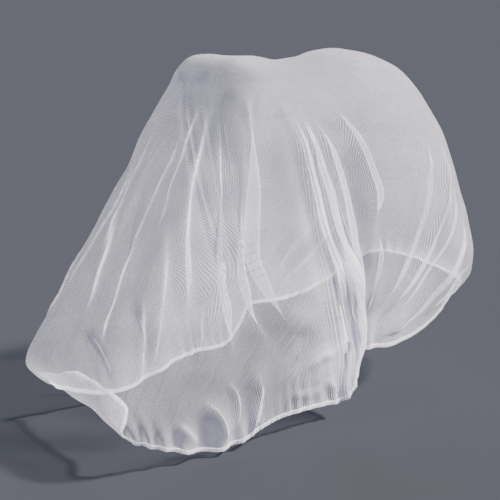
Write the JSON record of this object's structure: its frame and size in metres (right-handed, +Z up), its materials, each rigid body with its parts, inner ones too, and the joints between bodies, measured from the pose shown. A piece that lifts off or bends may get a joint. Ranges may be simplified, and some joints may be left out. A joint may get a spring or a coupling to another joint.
{
  "type": "stroller mosquito net",
  "caption": "Sheer white insect net with an elastic hem, in the shape in which it hangs over a stroller's seat and raised hood: a hollow cover, open below, with long uneven folds.",
  "frame": {"origin": "on the inner face under the top of the net, where it bears on the second bow of the hood that it covers", "axes": "+Z up, -Y towards the front end, which falls to the footrest, and X across, with the low tip of the hem and its bunch of pleats on +X as well as on -X"},
  "size_m": [0.4412, 1.014, 0.7301],
  "materials": {
    "netting": "fine sheer white polyester net, lilac in its shade"
  },
  "bodies": {
    "root": {"net": "netting"}
  },
  "joints": []
}
